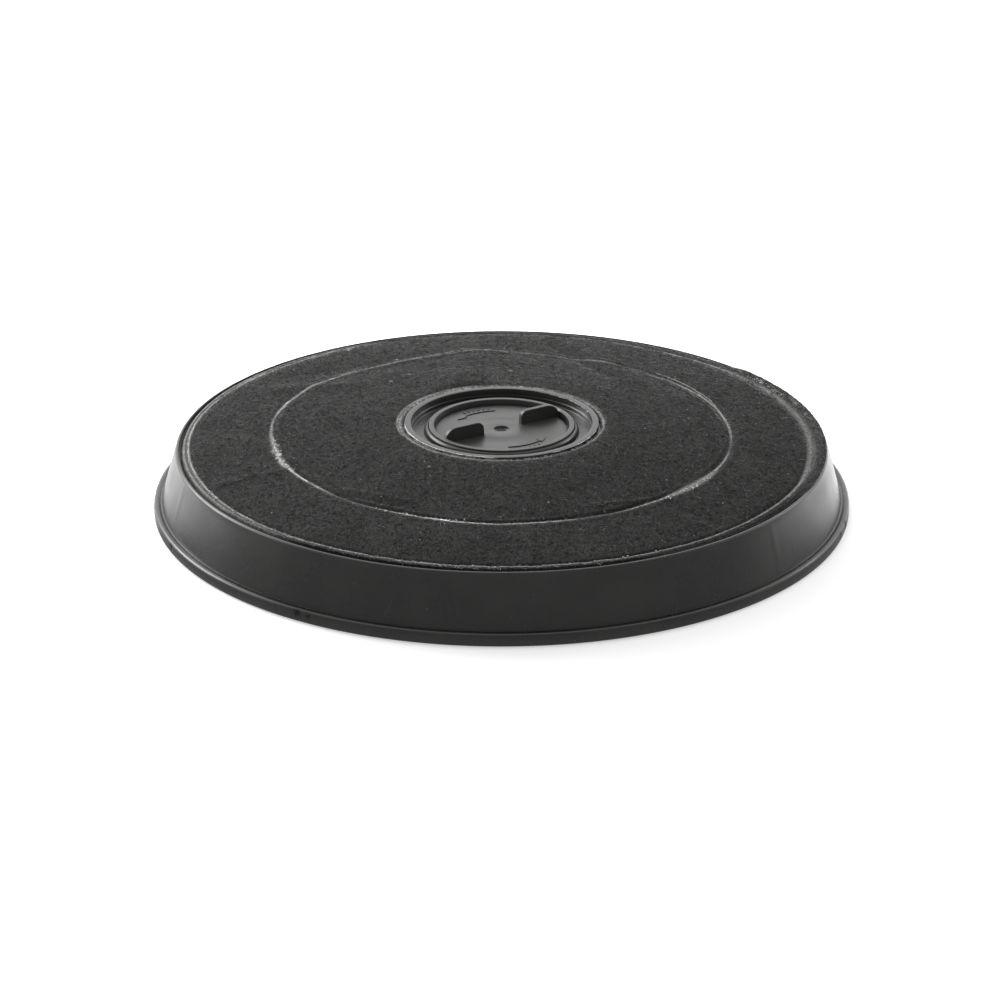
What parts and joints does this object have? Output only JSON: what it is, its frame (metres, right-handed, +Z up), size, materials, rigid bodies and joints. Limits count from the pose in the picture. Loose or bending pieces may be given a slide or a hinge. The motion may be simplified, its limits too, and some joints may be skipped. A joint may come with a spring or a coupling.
{
  "type": "cooker hood carbon filter",
  "caption": "Round black cooker hood filter: tapered flanged housing, carbon granules between welded felt discs, and a central knob with finger fins that turns to lock on the motor boss.",
  "frame": {"origin": "centre of the flange's underside, which the filter lies on", "axes": "+Z up along the filter's axis, from the flange to the felt face; +X to the right in the picture's view, +Y away from the camera"},
  "size_m": [0.24, 0.24, 0.0316],
  "materials": {
    "housing_plastic": "moulded, satin gloss",
    "knob_plastic": "moulded, satin",
    "front_felt": "needled nonwoven felt, welded",
    "back_felt": "needled nonwoven felt, welded",
    "carbon_granules": "loose granules, dull"
  },
  "bodies": {
    "filter": {"housing": "housing_plastic", "front_felt": "front_felt", "back_felt": "back_felt", "carbon_outer_1": "carbon_granules", "carbon_outer_2": "carbon_granules", "carbon_outer_3": "carbon_granules", "carbon_outer_4": "carbon_granules", "carbon_outer_5": "carbon_granules", "carbon_outer_6": "carbon_granules", "carbon_outer_7": "carbon_granules", "carbon_outer_8": "carbon_granules", "carbon_inner_1": "carbon_granules", "carbon_inner_2": "carbon_granules", "carbon_inner_3": "carbon_granules", "carbon_inner_4": "carbon_granules", "carbon_inner_5": "carbon_granules", "carbon_inner_6": "carbon_granules", "carbon_inner_7": "carbon_granules", "carbon_inner_8": "carbon_granules"},
    "knob": {"turn_knob": "knob_plastic"}
  },
  "joints": [
    {"name": "knob_turn", "type": "hinge", "parent": "filter", "child": "knob", "pos_m": [0, 0, 0.0245], "axis": [0, 0, 1], "range_deg": [0, 60]}
  ]
}
